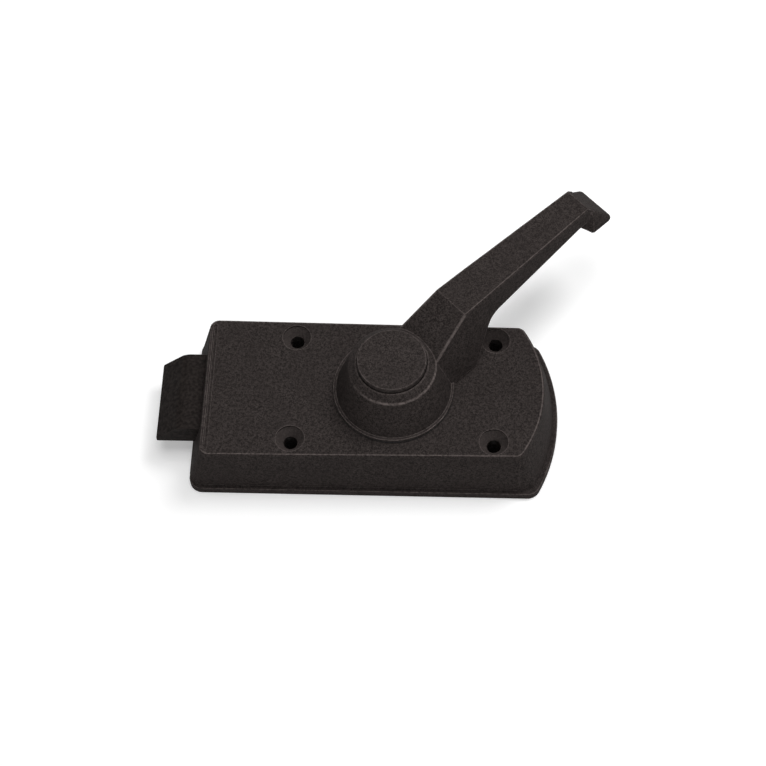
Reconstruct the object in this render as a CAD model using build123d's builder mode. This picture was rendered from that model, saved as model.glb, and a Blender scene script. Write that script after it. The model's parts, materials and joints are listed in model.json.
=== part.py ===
from build123d import *

import math
import os

# Surface-mounted slam latch: a sprung bolt in a flat case, drawn back by a cranked lever.
# X runs along the case and the bolt points to -X. Y runs across, and +Z is up from the
# mounting face. The origin lies under the lever's axis, in the middle of the four fixings.

# Base plate
PLATE_THICKNESS = 3.0
PLATE_LEFT = -76.7
PLATE_RIGHT = 61.4
PLATE_HALF_WIDTH = 32.3
PLATE_END_RADIUS = 68.0
PLATE_CORNER_RADIUS = 5.0
PLATE_EDGE_RADIUS = 0.5

# Case, a casting that stands on the plate and narrows upwards
FACE_HEIGHT = 24.5
FOOT_INSET = 1.8
LEFT_DRAFT_RUN = 6.0
RIGHT_DRAFT_RUN = 3.8
LEFT_SIDE_DRAFT_RUN = 1.6
RIGHT_SIDE_DRAFT_RUN = 3.0
FACE_END_RADIUS = 48.5
FACE_CORNER_RADIUS = 3.4
INNER_CORNER_RADIUS = 1.0
FACE_EDGE_RADIUS = 1.0
CASE_WALL = 2.7
BEAD_WIDTH = 1.3
BEAD_HEIGHT = 0.45
BEAD_ROUND = 0.4
BEAD_CORNER_RADIUS = 0.5
BEAD_INSET = 0.15
BEAD_END_INSET = 2.2
GROOVE_WIDTH = 1.1
GROOVE_DEPTH = 0.9
GROOVE_ROUND = 0.4

# Four fixing holes for M5 countersunk screws
FIXING_PITCH_X = 75.0
FIXING_PITCH_Y = 43.0
FIXING_RADIUS = 2.65
SINK_RADIUS = 5.3
SINK_LIP = 1.0
SINK_ANGLE = 90
FIXING_BOSS_RADIUS = 5.2

# M3 countersunk screws that hold the plate to the case, put in from the back
PLATE_SCREW_RADIUS = 1.5
PLATE_SCREW_HEAD_RADIUS = 2.9
PLATE_SCREW_LENGTH = 10.0
PLATE_SCREW_POST_RADIUS = 3.4
PLATE_SCREW_SOCKET_RADIUS = 1.0
PLATE_SCREW_SOCKET_DEPTH = 1.1
LEFT_SCREW_X = -62.0
LEFT_SCREW_Y = 24.2
RIGHT_SCREW_X = 50.0
RIGHT_SCREW_Y = 14.0

# Running fits and gaps between pieces
RUNNING_FIT = 0.05
SLIDING_GAP = 0.15
SEAT_GAP = 0.1
SCREW_GAP = 0.05

# Bolt
BOLT_TIP_X = -89.3
BOLT_REAR_X = -50.0
BOLT_BOTTOM = 10.1
BOLT_TOP_GAP = 1.6
BOLT_HALF_WIDTH = 15.9
BOLT_TIP_THICKNESS = 1.4
BOLT_BEVEL_LENGTH = 9.4
BOLT_NOSE_ROUND = 6.0
BOLT_EDGE_RADIUS = 0.5

# Steel tail under the bolt, which the drive roller pushes back
TAIL_THICKNESS = 3.0
TAIL_NECK_HALF_WIDTH = 12.6
TAIL_LAP = 12.0
TAIL_HEAD_RIM = 3.2
TAIL_HEAD_BAR = 5.5
TAIL_HEAD_END_X = 14.0
TAIL_CORNER_RADIUS = 2.0
WINDOW_INNER_GAP = 0.36
WINDOW_OUTER_GAP = 0.7
TAIL_RIVET_RADIUS = 1.75
TAIL_RIVET_HEAD_RADIUS = 2.9
TAIL_RIVET_PITCH = 5.0

# Lever turn and the crank that turns it into the bolt's travel
LEVER_REST_ANGLE = 44.5
LEVER_THROW = 45.0
CRANK_RADIUS = 17.6
CRANK_HALF_WIDTH = 4.4
CRANK_THICKNESS = 3.5
CRANK_GAP = 0.5
FOLLOWER_HUB_RADIUS = 8.5
FOLLOWER_JOURNAL_RADIUS = 7.0
FOLLOWER_FLANGE_RADIUS = 11.0
FOLLOWER_FLANGE_THICKNESS = 2.4
DRIVE_PIN_RADIUS = 2.0
DRIVE_ROLLER_RADIUS = 3.0
DRIVE_PIN_HEAD = 0.8
STOP_PIN_RADIUS = 2.0
STOP_PIN_ALONG = 15.0
STOP_BOSS_RADIUS = 3.5

# Spindle, bush and washers on the lever's axis
SPINDLE_SIDE = 8.0
SPINDLE_BOTTOM = 4.0
SPINDLE_CHAMFER = 0.5
SPINDLE_TAP_DEPTH = 14.0
CROSS_PIN_RADIUS = 1.2
CROSS_PIN_HEIGHT = 7.0
LEVER_JOURNAL_RADIUS = 8.0
BUSH_WALL = 2.2
BUSH_FLANGE_RADIUS = 11.0
BUSH_FLANGE_THICKNESS = 0.6
WAVE_WASHER_THICKNESS = 0.6
THRUST_WASHER_THICKNESS = 0.55

# Lever casting: hub, rising root, level beam and flared end
HUB_BASE_RADIUS = 22.6
HUB_RIM_HEIGHT = 1.0
HUB_RIM_WIDTH = 1.2
HUB_RIM_ROUND = 0.4
HUB_SHOULDER_RADIUS = 16.3
HUB_SHOULDER_HEIGHT = 41.7
HUB_SHOULDER_ROUND = 3.6
HUB_TOP_RADIUS = 13.5
HUB_TOP_RISE = 2.6
LEVER_TOP_HEIGHT = 53.0
LEVER_BEND_S = 29.5
LEVER_SLOPE = 0.664
ROOT_HALF_WIDTH = 7.6
ROOT_DRAFT = 13
ROOT_FOOT_S = 29.5
ROOT_START_S = 4.0
BEAM_START_S = 41.0
BEAM_START_HALF_WIDTH = 7.4
BEAM_END_HALF_WIDTH = 5.6
BEAM_DRAFT = 7
BEAM_KNEE_S = 42.5
BEAM_KNEE_DEPTH = 12.1
BEAM_KNEE_ROUND = 9.0
BEAM_END_DEPTH = 6.6
LEVER_EDGE_RADIUS = 0.8
END_CREASE_S = 94.4
END_TIP_S = 104.8
END_DEPTH = 12.6
END_HALF_WIDTH = 9.0
END_START_S = 95.0
END_HEEL_S = 94.2
END_LAP = 2.8
END_DRAFT = 15
END_BLEND_S = 89.0
END_BLEND_HALF_WIDTH = 6.6
END_BLEND_BULGE = 0.45
END_SIDE_ROUND = 2.5

# Screw, washers and cap in the top of the hub
LEVER_WEB_THICKNESS = 2.4
SPINDLE_HEAD_GAP = 0.3
HANDLE_SCREW_RADIUS = 3.0
HANDLE_SCREW_HEAD_RADIUS = 5.0
HANDLE_SCREW_HEAD_HEIGHT = 4.0
HANDLE_SCREW_ENGAGEMENT = 10.0
HANDLE_SCREW_SOCKET_SIDE = 5.0
HANDLE_SCREW_SOCKET_DEPTH = 2.4
PLAIN_WASHER_RADIUS = 7.5
PLAIN_WASHER_THICKNESS = 1.6
SPRING_WASHER_RADIUS = 5.9
SPRING_WASHER_THICKNESS = 1.5
SPRING_WASHER_SPLIT = 0.9
CAP_RADIUS = 12.75
CAP_SEAT_GAP = 0.35
CAP_THICKNESS = 3.2
CAP_EDGE_RADIUS = 0.5
CAP_PLUG_RADIUS = 9.6
CAP_PLUG_WALL = 1.6
CAP_PLUG_LENGTH = 3.0
CAP_SEAT_DEPTH = 1.1
CAP_HEAD_GAP = 0.4

# Sides of the wire of all three springs
WIRE_SIDES = 6

# Bolt springs, their guide pins and the bracket that they push against
BOLT_SPRING_Y = 7.5
BOLT_SPRING_Z = 16.6
BOLT_SPRING_COIL_RADIUS = 2.2
BOLT_SPRING_WIRE_RADIUS = 0.4
BOLT_SPRING_COILS = 9
BOLT_POCKET_RADIUS = 2.85
BOLT_POCKET_DEPTH = 9.6
SPRING_PIN_RADIUS = 1.5
SPRING_PIN_LENGTH = 13.0
BRACKET_THICKNESS = 2.0
BRACKET_HALF_WIDTH = 19.5
BRACKET_TOP_GAP = 1.4
BRACKET_CORNER_RADIUS = 3.0
BRACKET_TAB_HALF_WIDTH = 1.8
BRACKET_TAB_Y = 16.6
BRACKET_TAB_LENGTH = 2.6

# Lever return spring round the follower, and its post
RETURN_COIL_RADIUS = 10.3
RETURN_WIRE_RADIUS = 0.7
RETURN_COIL_BOTTOM = 4.4
RETURN_COILS = 3
RETURN_PITCH = 1.55
RETURN_POST_RADIUS = 1.6
RETURN_POST_ALONG = 6.0
RETURN_LEG_LENGTH = 8.0
RETURN_HOOK_DEPTH = 1.4
RETURN_BEND_RADIUS = 0.78
RETURN_LEG_START = 0.2

# Nylon guides for the bolt and its tail
GUIDE_RIGHT_X = -51.5
GUIDE_CHEEK_WALL = 3.0
GUIDE_TOP_GAP = 1.0
GUIDE_CORE_WALL = 2.4
GUIDE_RIVET_RADIUS = 1.6
GUIDE_RIVET_HEAD_RADIUS = 2.8
GUIDE_RIVET_X = -64.0
GUIDE_RIVET_PITCH = 16.0
RAIL_LEFT_X = -26.0
RAIL_RIGHT_X = 27.5
RAIL_WIDTH = 3.0
RAIL_STUD_RADIUS = 1.4

# Values that follow from the sizes above
CEILING = FACE_HEIGHT - CASE_WALL
FOOT_LEFT = PLATE_LEFT
FOOT_RIGHT = PLATE_RIGHT - FOOT_INSET
FOOT_HALF_WIDTH = PLATE_HALF_WIDTH - FOOT_INSET
FOOT_END_RADIUS = PLATE_END_RADIUS - FOOT_INSET
FOOT_CORNER_RADIUS = PLATE_CORNER_RADIUS
FACE_LEFT = FOOT_LEFT + LEFT_DRAFT_RUN
FACE_RIGHT = FOOT_RIGHT - RIGHT_DRAFT_RUN
FACE_LEFT_HALF = FOOT_HALF_WIDTH - LEFT_SIDE_DRAFT_RUN
FACE_RIGHT_HALF = FOOT_HALF_WIDTH - RIGHT_SIDE_DRAFT_RUN
BEAD_LENGTH = 2 * (FACE_LEFT_HALF - BEAD_END_INSET)
GROOVE_RIGHT = FACE_LEFT + BEAD_INSET + BEAD_WIDTH + GROOVE_WIDTH
BOLT_TOP = CEILING - BOLT_TOP_GAP
BOLT_THICKNESS = BOLT_TOP - BOLT_BOTTOM
TAIL_TOP = BOLT_BOTTOM + TAIL_THICKNESS
CRANK_BOTTOM = TAIL_TOP + CRANK_GAP
CRANK_TOP = CRANK_BOTTOM + CRANK_THICKNESS
BUSH_FLANGE_BOTTOM = CEILING - BUSH_FLANGE_THICKNESS
FOLLOWER_TOP = BUSH_FLANGE_BOTTOM - WAVE_WASHER_THICKNESS - SEAT_GAP
LEVER_JOURNAL_BOTTOM = FOLLOWER_TOP + SEAT_GAP
LEVER_BOTTOM = FACE_HEIGHT + THRUST_WASHER_THICKNESS + RUNNING_FIT
SOCKET_SIDE = SPINDLE_SIDE + 2 * RUNNING_FIT
BUSH_OUTER_RADIUS = LEVER_JOURNAL_RADIUS + RUNNING_FIT + BUSH_WALL
ROOT_START_DROP = (LEVER_BEND_S - ROOT_START_S) * LEVER_SLOPE
ROOT_START_HEIGHT = LEVER_TOP_HEIGHT - ROOT_START_DROP
ROOT_START_HALF_WIDTH = ROOT_HALF_WIDTH + ROOT_START_DROP * math.tan(math.radians(ROOT_DRAFT))
HUB_RIM_TOP = LEVER_BOTTOM + HUB_RIM_HEIGHT
HUB_TOP_HEIGHT = HUB_SHOULDER_HEIGHT + HUB_TOP_RISE
BEAM_KNEE_HEIGHT = LEVER_TOP_HEIGHT - BEAM_KNEE_DEPTH
BEAM_END_HEIGHT = LEVER_TOP_HEIGHT - BEAM_END_DEPTH
END_BOTTOM = LEVER_TOP_HEIGHT - END_DEPTH
END_SLOPE = (LEVER_TOP_HEIGHT - END_BOTTOM) / (END_TIP_S - END_CREASE_S)
END_MIDDLE_S = END_CREASE_S + END_LAP
END_MIDDLE_HEIGHT = LEVER_TOP_HEIGHT - (END_MIDDLE_S - END_CREASE_S) * END_SLOPE
CAP_BOTTOM = HUB_TOP_HEIGHT - CAP_SEAT_DEPTH
HANDLE_SCREW_HEAD_BOTTOM = CAP_BOTTOM - CAP_HEAD_GAP - HANDLE_SCREW_HEAD_HEIGHT
SPRING_WASHER_BOTTOM = HANDLE_SCREW_HEAD_BOTTOM - SPRING_WASHER_THICKNESS
LEVER_WEB_TOP = SPRING_WASHER_BOTTOM - PLAIN_WASHER_THICKNESS
LEVER_WEB_BOTTOM = LEVER_WEB_TOP - LEVER_WEB_THICKNESS
SPINDLE_TOP = LEVER_WEB_BOTTOM - SPINDLE_HEAD_GAP
CAP_PLUG_RECESS_RADIUS = CAP_PLUG_RADIUS + RUNNING_FIT

# The crank stands square to the middle of its swing at half throw, so that its pin runs
# evenly to both sides of the Y axis and moves the bolt by twice that reach.
CRANK_REST_ANGLE = 90 + LEVER_THROW / 2
CRANK_REACH = CRANK_RADIUS * math.sin(math.radians(LEVER_THROW / 2))
BOLT_TRAVEL = 2 * CRANK_REACH
WINDOW_RIGHT_X = -CRANK_REACH + DRIVE_ROLLER_RADIUS + SLIDING_GAP
WINDOW_LEFT_X = -CRANK_REACH - DRIVE_ROLLER_RADIUS - SLIDING_GAP - BOLT_TRAVEL
TAIL_HEAD_LEFT_X = WINDOW_LEFT_X - TAIL_HEAD_BAR
WINDOW_OUTER_Y = CRANK_RADIUS + DRIVE_ROLLER_RADIUS + WINDOW_OUTER_GAP
WINDOW_INNER_Y = (
    CRANK_RADIUS * math.cos(math.radians(LEVER_THROW / 2)) - DRIVE_ROLLER_RADIUS - WINDOW_INNER_GAP
)
TAIL_HEAD_HALF_WIDTH = WINDOW_OUTER_Y + TAIL_HEAD_RIM
BRACKET_X = TAIL_HEAD_LEFT_X - SLIDING_GAP - BRACKET_THICKNESS
BRACKET_TOP = CEILING - BRACKET_TOP_GAP
GUIDE_CHEEK_TOP = CEILING - GUIDE_TOP_GAP
TAIL_LEFT_X = BOLT_REAR_X - TAIL_LAP
TAIL_SLOT_HALF_WIDTH = FOLLOWER_HUB_RADIUS + SLIDING_GAP
CRANK_PIN_PLACE = (
    CRANK_RADIUS * math.cos(math.radians(CRANK_REST_ANGLE)),
    CRANK_RADIUS * math.sin(math.radians(CRANK_REST_ANGLE)),
)
GUIDE_LEFT_X = FACE_LEFT + CASE_WALL + SEAT_GAP
RETURN_COIL_TOP = RETURN_COIL_BOTTOM + RETURN_PITCH * RETURN_COILS
RETURN_POST_PLACE = (
    RETURN_COIL_RADIUS + RETURN_WIRE_RADIUS + RUNNING_FIT + RETURN_POST_RADIUS,
    -RETURN_POST_ALONG,
)
RAIL_MIDDLE_Y = TAIL_HEAD_HALF_WIDTH - RAIL_WIDTH / 2


def case_outline(left, left_half, right_half, right, end_radius, corner_radius):
    """Bullet-shaped outline: a straight left end, two sides and a round right end."""
    corner_x = right - end_radius + math.sqrt(end_radius**2 - right_half**2)
    with BuildSketch() as outline:
        with BuildLine():
            Polyline(
                (corner_x, right_half),
                (left, left_half),
                (left, -left_half),
                (corner_x, -right_half),
            )
            ThreePointArc((corner_x, -right_half), (right, 0), (corner_x, right_half))
        make_face()
        fillet(outline.vertices(), corner_radius)
    return outline.sketch


def foot_outline(inset):
    """Outline of the case on the plate, drawn in by the inset."""
    return case_outline(
        FOOT_LEFT + inset,
        FOOT_HALF_WIDTH - inset,
        FOOT_HALF_WIDTH - inset,
        FOOT_RIGHT - inset,
        FOOT_END_RADIUS - inset,
        max(FOOT_CORNER_RADIUS - inset, INNER_CORNER_RADIUS),
    )


def face_outline(inset):
    """Outline of the case at its face, drawn in by the inset."""
    return case_outline(
        FACE_LEFT + inset,
        FACE_LEFT_HALF - inset,
        FACE_RIGHT_HALF - inset,
        FACE_RIGHT - inset,
        FACE_END_RADIUS - inset,
        max(FACE_CORNER_RADIUS - inset, INNER_CORNER_RADIUS),
    )


def ring(outer_radius, inner_radius, bottom, thickness):
    """Flat ring round the lever's axis."""
    with BuildPart() as washer:
        with BuildSketch(Plane.XY.offset(bottom)):
            Circle(outer_radius)
            Circle(inner_radius, mode=Mode.SUBTRACT)
        extrude(amount=thickness)
    return washer.part


def arm_section(along, top, top_half_width, draft):
    """Cross-section of the lever's arm: drafted sides and rounded top edges."""
    bottom_half_width = top_half_width + (top - LEVER_BOTTOM) * math.tan(math.radians(draft))
    with BuildSketch(Plane.YZ.offset(along)) as section:
        with BuildLine():
            Polyline(
                (-bottom_half_width, LEVER_BOTTOM),
                (bottom_half_width, LEVER_BOTTOM),
                (top_half_width, top),
                (-top_half_width, top),
                close=True,
            )
        make_face()
        fillet(section.vertices().group_by(Axis.Y)[-1], LEVER_EDGE_RADIUS)
    return section.sketch


def coil_wire(coil_radius, wire_radius, pitch, height):
    """Eight-sided wire wound up the Z axis from z = 0."""
    with BuildPart() as wire:
        with BuildLine() as path:
            Helix(pitch, height, coil_radius)
        with BuildSketch(Plane(path.line @ 0, z_dir=path.line % 0)):
            RegularPolygon(wire_radius, WIRE_SIDES)
        sweep(is_frenet=True)
    return wire.part


def case_screw_places():
    """Where the plate is screwed to the case."""
    return [
        (LEFT_SCREW_X, LEFT_SCREW_Y),
        (LEFT_SCREW_X, -LEFT_SCREW_Y),
        (RIGHT_SCREW_X, RIGHT_SCREW_Y),
        (RIGHT_SCREW_X, -RIGHT_SCREW_Y),
    ]


def stop_places():
    """Where the two stop pins stand, one at each end of the crank's swing."""
    side = CRANK_HALF_WIDTH + STOP_PIN_RADIUS + SEAT_GAP
    radius = math.hypot(STOP_PIN_ALONG, side)
    lead = math.degrees(math.atan2(side, STOP_PIN_ALONG))
    angles = [CRANK_REST_ANGLE + lead, CRANK_REST_ANGLE - LEVER_THROW - lead]
    return [
        (radius * math.cos(math.radians(a)), radius * math.sin(math.radians(a))) for a in angles
    ]


def guide_rivet_places():
    """Where the bolt guide is riveted to the plate."""
    return [(GUIDE_RIVET_X, GUIDE_RIVET_PITCH / 2), (GUIDE_RIVET_X, -GUIDE_RIVET_PITCH / 2)]


def tail_rivet_places():
    """Where the tail is riveted to the bolt, one behind the other between the springs."""
    middle_x = BOLT_REAR_X - TAIL_LAP / 2
    return [(middle_x - TAIL_RIVET_PITCH / 2, 0), (middle_x + TAIL_RIVET_PITCH / 2, 0)]


def bracket_tab_places():
    """Where the spring bracket's tabs pass through the plate."""
    middle_x = BRACKET_X + BRACKET_THICKNESS / 2
    return [(middle_x, BRACKET_TAB_Y), (middle_x, -BRACKET_TAB_Y)]


def rail_stud_places():
    """Where the studs under the tail rails are pressed into the plate."""
    return [
        (x, y)
        for x in (RAIL_LEFT_X + RAIL_WIDTH, RAIL_RIGHT_X - RAIL_WIDTH)
        for y in (RAIL_MIDDLE_Y, -RAIL_MIDDLE_Y)
    ]


def countersunk_rod(radius, head_radius, length):
    """Rod up from z = 0 with a countersunk head at the bottom."""
    with BuildPart() as rod:
        with BuildSketch(Plane.XZ):
            with BuildLine():
                Polyline(
                    (0, 0),
                    (head_radius, 0),
                    (radius, head_radius - radius),
                    (radius, length),
                    (0, length),
                    close=True,
                )
            make_face()
        revolve(axis=Axis.Z)
    return rod.part


os.makedirs("parts", exist_ok=True)

# Case: drafted shell, open at the back, with bosses that run down to the plate
with BuildPart() as housing:
    with BuildSketch(Plane.XY.offset(PLATE_THICKNESS)):
        add(foot_outline(0))
    with BuildSketch(Plane.XY.offset(FACE_HEIGHT)):
        add(face_outline(0))
    loft(ruled=True)
    fillet(housing.faces().sort_by(Axis.Z)[-1].edges(), FACE_EDGE_RADIUS)
    with BuildSketch(Plane.XY.offset(PLATE_THICKNESS)):
        add(foot_outline(CASE_WALL))
    with BuildSketch(Plane.XY.offset(CEILING)):
        add(face_outline(CASE_WALL))
    loft(ruled=True, mode=Mode.SUBTRACT)
    with BuildSketch(Plane.XY.offset(PLATE_THICKNESS)):
        with GridLocations(FIXING_PITCH_X, FIXING_PITCH_Y, 2, 2):
            Circle(FIXING_BOSS_RADIUS)
        with Locations(*case_screw_places()):
            Circle(PLATE_SCREW_POST_RADIUS)
    extrude(amount=CEILING - PLATE_THICKNESS)
    with BuildSketch(Plane.XY.offset(CRANK_TOP + CRANK_GAP)):
        with Locations(*stop_places()):
            Circle(STOP_BOSS_RADIUS)
    extrude(amount=CEILING - CRANK_TOP - CRANK_GAP)
    with BuildSketch(Plane.XY.offset(CRANK_TOP + CRANK_GAP)):
        with Locations(*stop_places()):
            Circle(STOP_PIN_RADIUS)
    extrude(amount=CEILING - CRANK_TOP - CRANK_GAP, mode=Mode.SUBTRACT)
    with BuildSketch(Plane.XY.offset(PLATE_THICKNESS)):
        with Locations(*case_screw_places()):
            Circle(PLATE_SCREW_RADIUS + SCREW_GAP)
    extrude(amount=PLATE_SCREW_LENGTH, mode=Mode.SUBTRACT)
    with Locations(Plane.XY.offset(FACE_HEIGHT)):
        Hole(BUSH_OUTER_RADIUS, depth=FACE_HEIGHT - PLATE_THICKNESS)
    with Locations(Plane.XY.offset(FACE_HEIGHT - SINK_LIP)):
        with GridLocations(FIXING_PITCH_X, FIXING_PITCH_Y, 2, 2):
            CounterSinkHole(FIXING_RADIUS, SINK_RADIUS, counter_sink_angle=SINK_ANGLE)
    with BuildSketch(Plane.YZ.offset(PLATE_LEFT)):
        with Locations((0, BOLT_BOTTOM + BOLT_THICKNESS / 2)):
            Rectangle(
                2 * (BOLT_HALF_WIDTH + SLIDING_GAP),
                BOLT_THICKNESS + 2 * SLIDING_GAP,
            )
    extrude(amount=GUIDE_RIGHT_X - PLATE_LEFT, mode=Mode.SUBTRACT)
    with BuildSketch(Plane.XY.offset(FACE_HEIGHT - FACE_EDGE_RADIUS)):
        with Locations((FACE_LEFT + BEAD_INSET + BEAD_WIDTH / 2, 0)):
            RectangleRounded(BEAD_WIDTH, BEAD_LENGTH, BEAD_CORNER_RADIUS)
    extrude(amount=FACE_EDGE_RADIUS + BEAD_HEIGHT)
    fillet(housing.faces().sort_by(Axis.Z)[-1].edges(), BEAD_ROUND)
    with BuildSketch(Plane.XY.offset(FACE_HEIGHT)):
        with Locations((GROOVE_RIGHT - GROOVE_WIDTH / 2, 0)):
            Rectangle(GROOVE_WIDTH, BEAD_LENGTH)
    extrude(amount=-GROOVE_DEPTH, mode=Mode.SUBTRACT)
    fillet(
        housing.edges()
        .filter_by(Axis.Y)
        .filter_by_position(Axis.X, GROOVE_RIGHT - RUNNING_FIT, GROOVE_RIGHT + RUNNING_FIT)
        .sort_by(Axis.Z)[-1],
        GROOVE_ROUND,
    )
housing.part.label = "housing"
export_step(housing.part, "parts/housing.step")

# Base plate: flat steel, with the follower's lower bearing in it
with BuildPart() as base_plate:
    with BuildSketch():
        add(
            case_outline(
                PLATE_LEFT,
                PLATE_HALF_WIDTH,
                PLATE_HALF_WIDTH,
                PLATE_RIGHT,
                PLATE_END_RADIUS,
                PLATE_CORNER_RADIUS,
            )
        )
    extrude(amount=PLATE_THICKNESS)
    fillet(base_plate.faces().sort_by(Axis.Z)[-1].edges(), PLATE_EDGE_RADIUS)
    with BuildSketch():
        with GridLocations(FIXING_PITCH_X, FIXING_PITCH_Y, 2, 2):
            Circle(FIXING_RADIUS)
        Circle(FOLLOWER_JOURNAL_RADIUS + RUNNING_FIT)
        with Locations(RETURN_POST_PLACE):
            Circle(RETURN_POST_RADIUS)
        with Locations(*rail_stud_places()):
            Circle(RAIL_STUD_RADIUS)
        with Locations(*bracket_tab_places()):
            Rectangle(BRACKET_THICKNESS, 2 * BRACKET_TAB_HALF_WIDTH)
    extrude(amount=PLATE_THICKNESS, mode=Mode.SUBTRACT)
    with Locations(*[Location((x, y, 0), (180, 0, 0)) for x, y in case_screw_places()]):
        CounterSinkHole(
            PLATE_SCREW_RADIUS + SCREW_GAP,
            PLATE_SCREW_HEAD_RADIUS,
            counter_sink_angle=SINK_ANGLE,
        )
    with Locations(*[Location((x, y, 0), (180, 0, 0)) for x, y in guide_rivet_places()]):
        CounterSinkHole(
            GUIDE_RIVET_RADIUS, GUIDE_RIVET_HEAD_RADIUS, counter_sink_angle=SINK_ANGLE
        )
base_plate.part.label = "base_plate"
export_step(base_plate.part, "parts/base_plate.step")

# Plate screws: countersunk heads flush with the back, each with a hexagon socket
with BuildPart() as base_plate_screws:
    with Locations(*case_screw_places()):
        add(countersunk_rod(PLATE_SCREW_RADIUS, PLATE_SCREW_HEAD_RADIUS, PLATE_SCREW_LENGTH))
    with BuildSketch():
        with Locations(*case_screw_places()):
            RegularPolygon(PLATE_SCREW_SOCKET_RADIUS, 6)
    extrude(amount=PLATE_SCREW_SOCKET_DEPTH, mode=Mode.SUBTRACT)
base_plate_screws.part.label = "base_plate_screws"
export_step(base_plate_screws.part, "parts/base_plate_screws.step")

# Bush that the lever's journal turns in, pressed into the case from inside
with BuildPart() as pivot_bush:
    with BuildSketch(Plane.XY.offset(BUSH_FLANGE_BOTTOM)):
        Circle(BUSH_FLANGE_RADIUS)
    extrude(amount=BUSH_FLANGE_THICKNESS)
    with BuildSketch(Plane.XY.offset(CEILING)):
        Circle(BUSH_OUTER_RADIUS)
    extrude(amount=CASE_WALL)
    with Locations(Plane.XY.offset(FACE_HEIGHT)):
        Hole(LEVER_JOURNAL_RADIUS + RUNNING_FIT)
pivot_bush.part.label = "pivot_bush"
export_step(pivot_bush.part, "parts/pivot_bush.step")

# Thrust washer that the lever's hub turns on
thrust_washer = ring(
    HUB_BASE_RADIUS,
    LEVER_JOURNAL_RADIUS + RUNNING_FIT,
    FACE_HEIGHT,
    THRUST_WASHER_THICKNESS,
)
thrust_washer.label = "thrust_washer"
export_step(thrust_washer, "parts/thrust_washer.step")

# Wave washer that takes up the follower's end play
wave_washer = ring(
    BUSH_FLANGE_RADIUS,
    LEVER_JOURNAL_RADIUS + SLIDING_GAP,
    BUSH_FLANGE_BOTTOM - WAVE_WASHER_THICKNESS,
    WAVE_WASHER_THICKNESS,
)
wave_washer.label = "wave_washer"
export_step(wave_washer, "parts/wave_washer.step")

# Lever, drawn along X and turned to its rest angle at the end
with BuildPart() as lever_hub:
    with BuildSketch(Plane.XZ) as hub_profile:
        with BuildLine():
            Polyline(
                (0, LEVER_BOTTOM),
                (HUB_BASE_RADIUS, LEVER_BOTTOM),
                (HUB_BASE_RADIUS, HUB_RIM_TOP),
                (HUB_BASE_RADIUS - HUB_RIM_WIDTH, HUB_RIM_TOP),
                (HUB_SHOULDER_RADIUS, HUB_SHOULDER_HEIGHT),
                (HUB_TOP_RADIUS, HUB_TOP_HEIGHT),
                (0, HUB_TOP_HEIGHT),
                close=True,
            )
        make_face()
        rim_corner = hub_profile.vertices().sort_by_distance((HUB_BASE_RADIUS, HUB_RIM_TOP))[0]
        fillet(rim_corner, HUB_RIM_ROUND)
        fillet(
            hub_profile.vertices().group_by(Axis.Y)[-2],
            HUB_SHOULDER_ROUND,
        )
    revolve(axis=Axis.Z)

with BuildPart() as lever_end:
    with BuildSketch(Plane.XY.offset(END_BOTTOM)):
        with BuildLine():
            Line((END_BLEND_S, END_BLEND_HALF_WIDTH), (END_BLEND_S, -END_BLEND_HALF_WIDTH))
            SagittaArc(
                (END_BLEND_S, -END_BLEND_HALF_WIDTH),
                (END_START_S, -END_HALF_WIDTH),
                END_BLEND_BULGE,
            )
            Polyline(
                (END_START_S, -END_HALF_WIDTH),
                (END_TIP_S, -END_HALF_WIDTH),
                (END_TIP_S, END_HALF_WIDTH),
                (END_START_S, END_HALF_WIDTH),
            )
            SagittaArc(
                (END_START_S, END_HALF_WIDTH),
                (END_BLEND_S, END_BLEND_HALF_WIDTH),
                END_BLEND_BULGE,
            )
        make_face()
    extrude(amount=LEVER_TOP_HEIGHT - END_BOTTOM, taper=END_DRAFT)
    with BuildSketch(Plane.XZ):
        with BuildLine():
            Polyline(
                (END_BLEND_S, LEVER_TOP_HEIGHT),
                (END_BLEND_S, BEAM_END_HEIGHT),
                (END_HEEL_S, END_BOTTOM),
                (END_TIP_S, END_BOTTOM),
                (END_CREASE_S, LEVER_TOP_HEIGHT),
                close=True,
            )
        make_face()
    extrude(amount=HUB_BASE_RADIUS, both=True, mode=Mode.INTERSECT)
    slope = lever_end.faces().sort_by(lambda face: face.normal_at().X)[-1]
    slope_lines = slope.edges().filter_by(GeomType.LINE)
    fillet(slope_lines.group_by(Axis.Z)[1], END_SIDE_ROUND)

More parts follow.
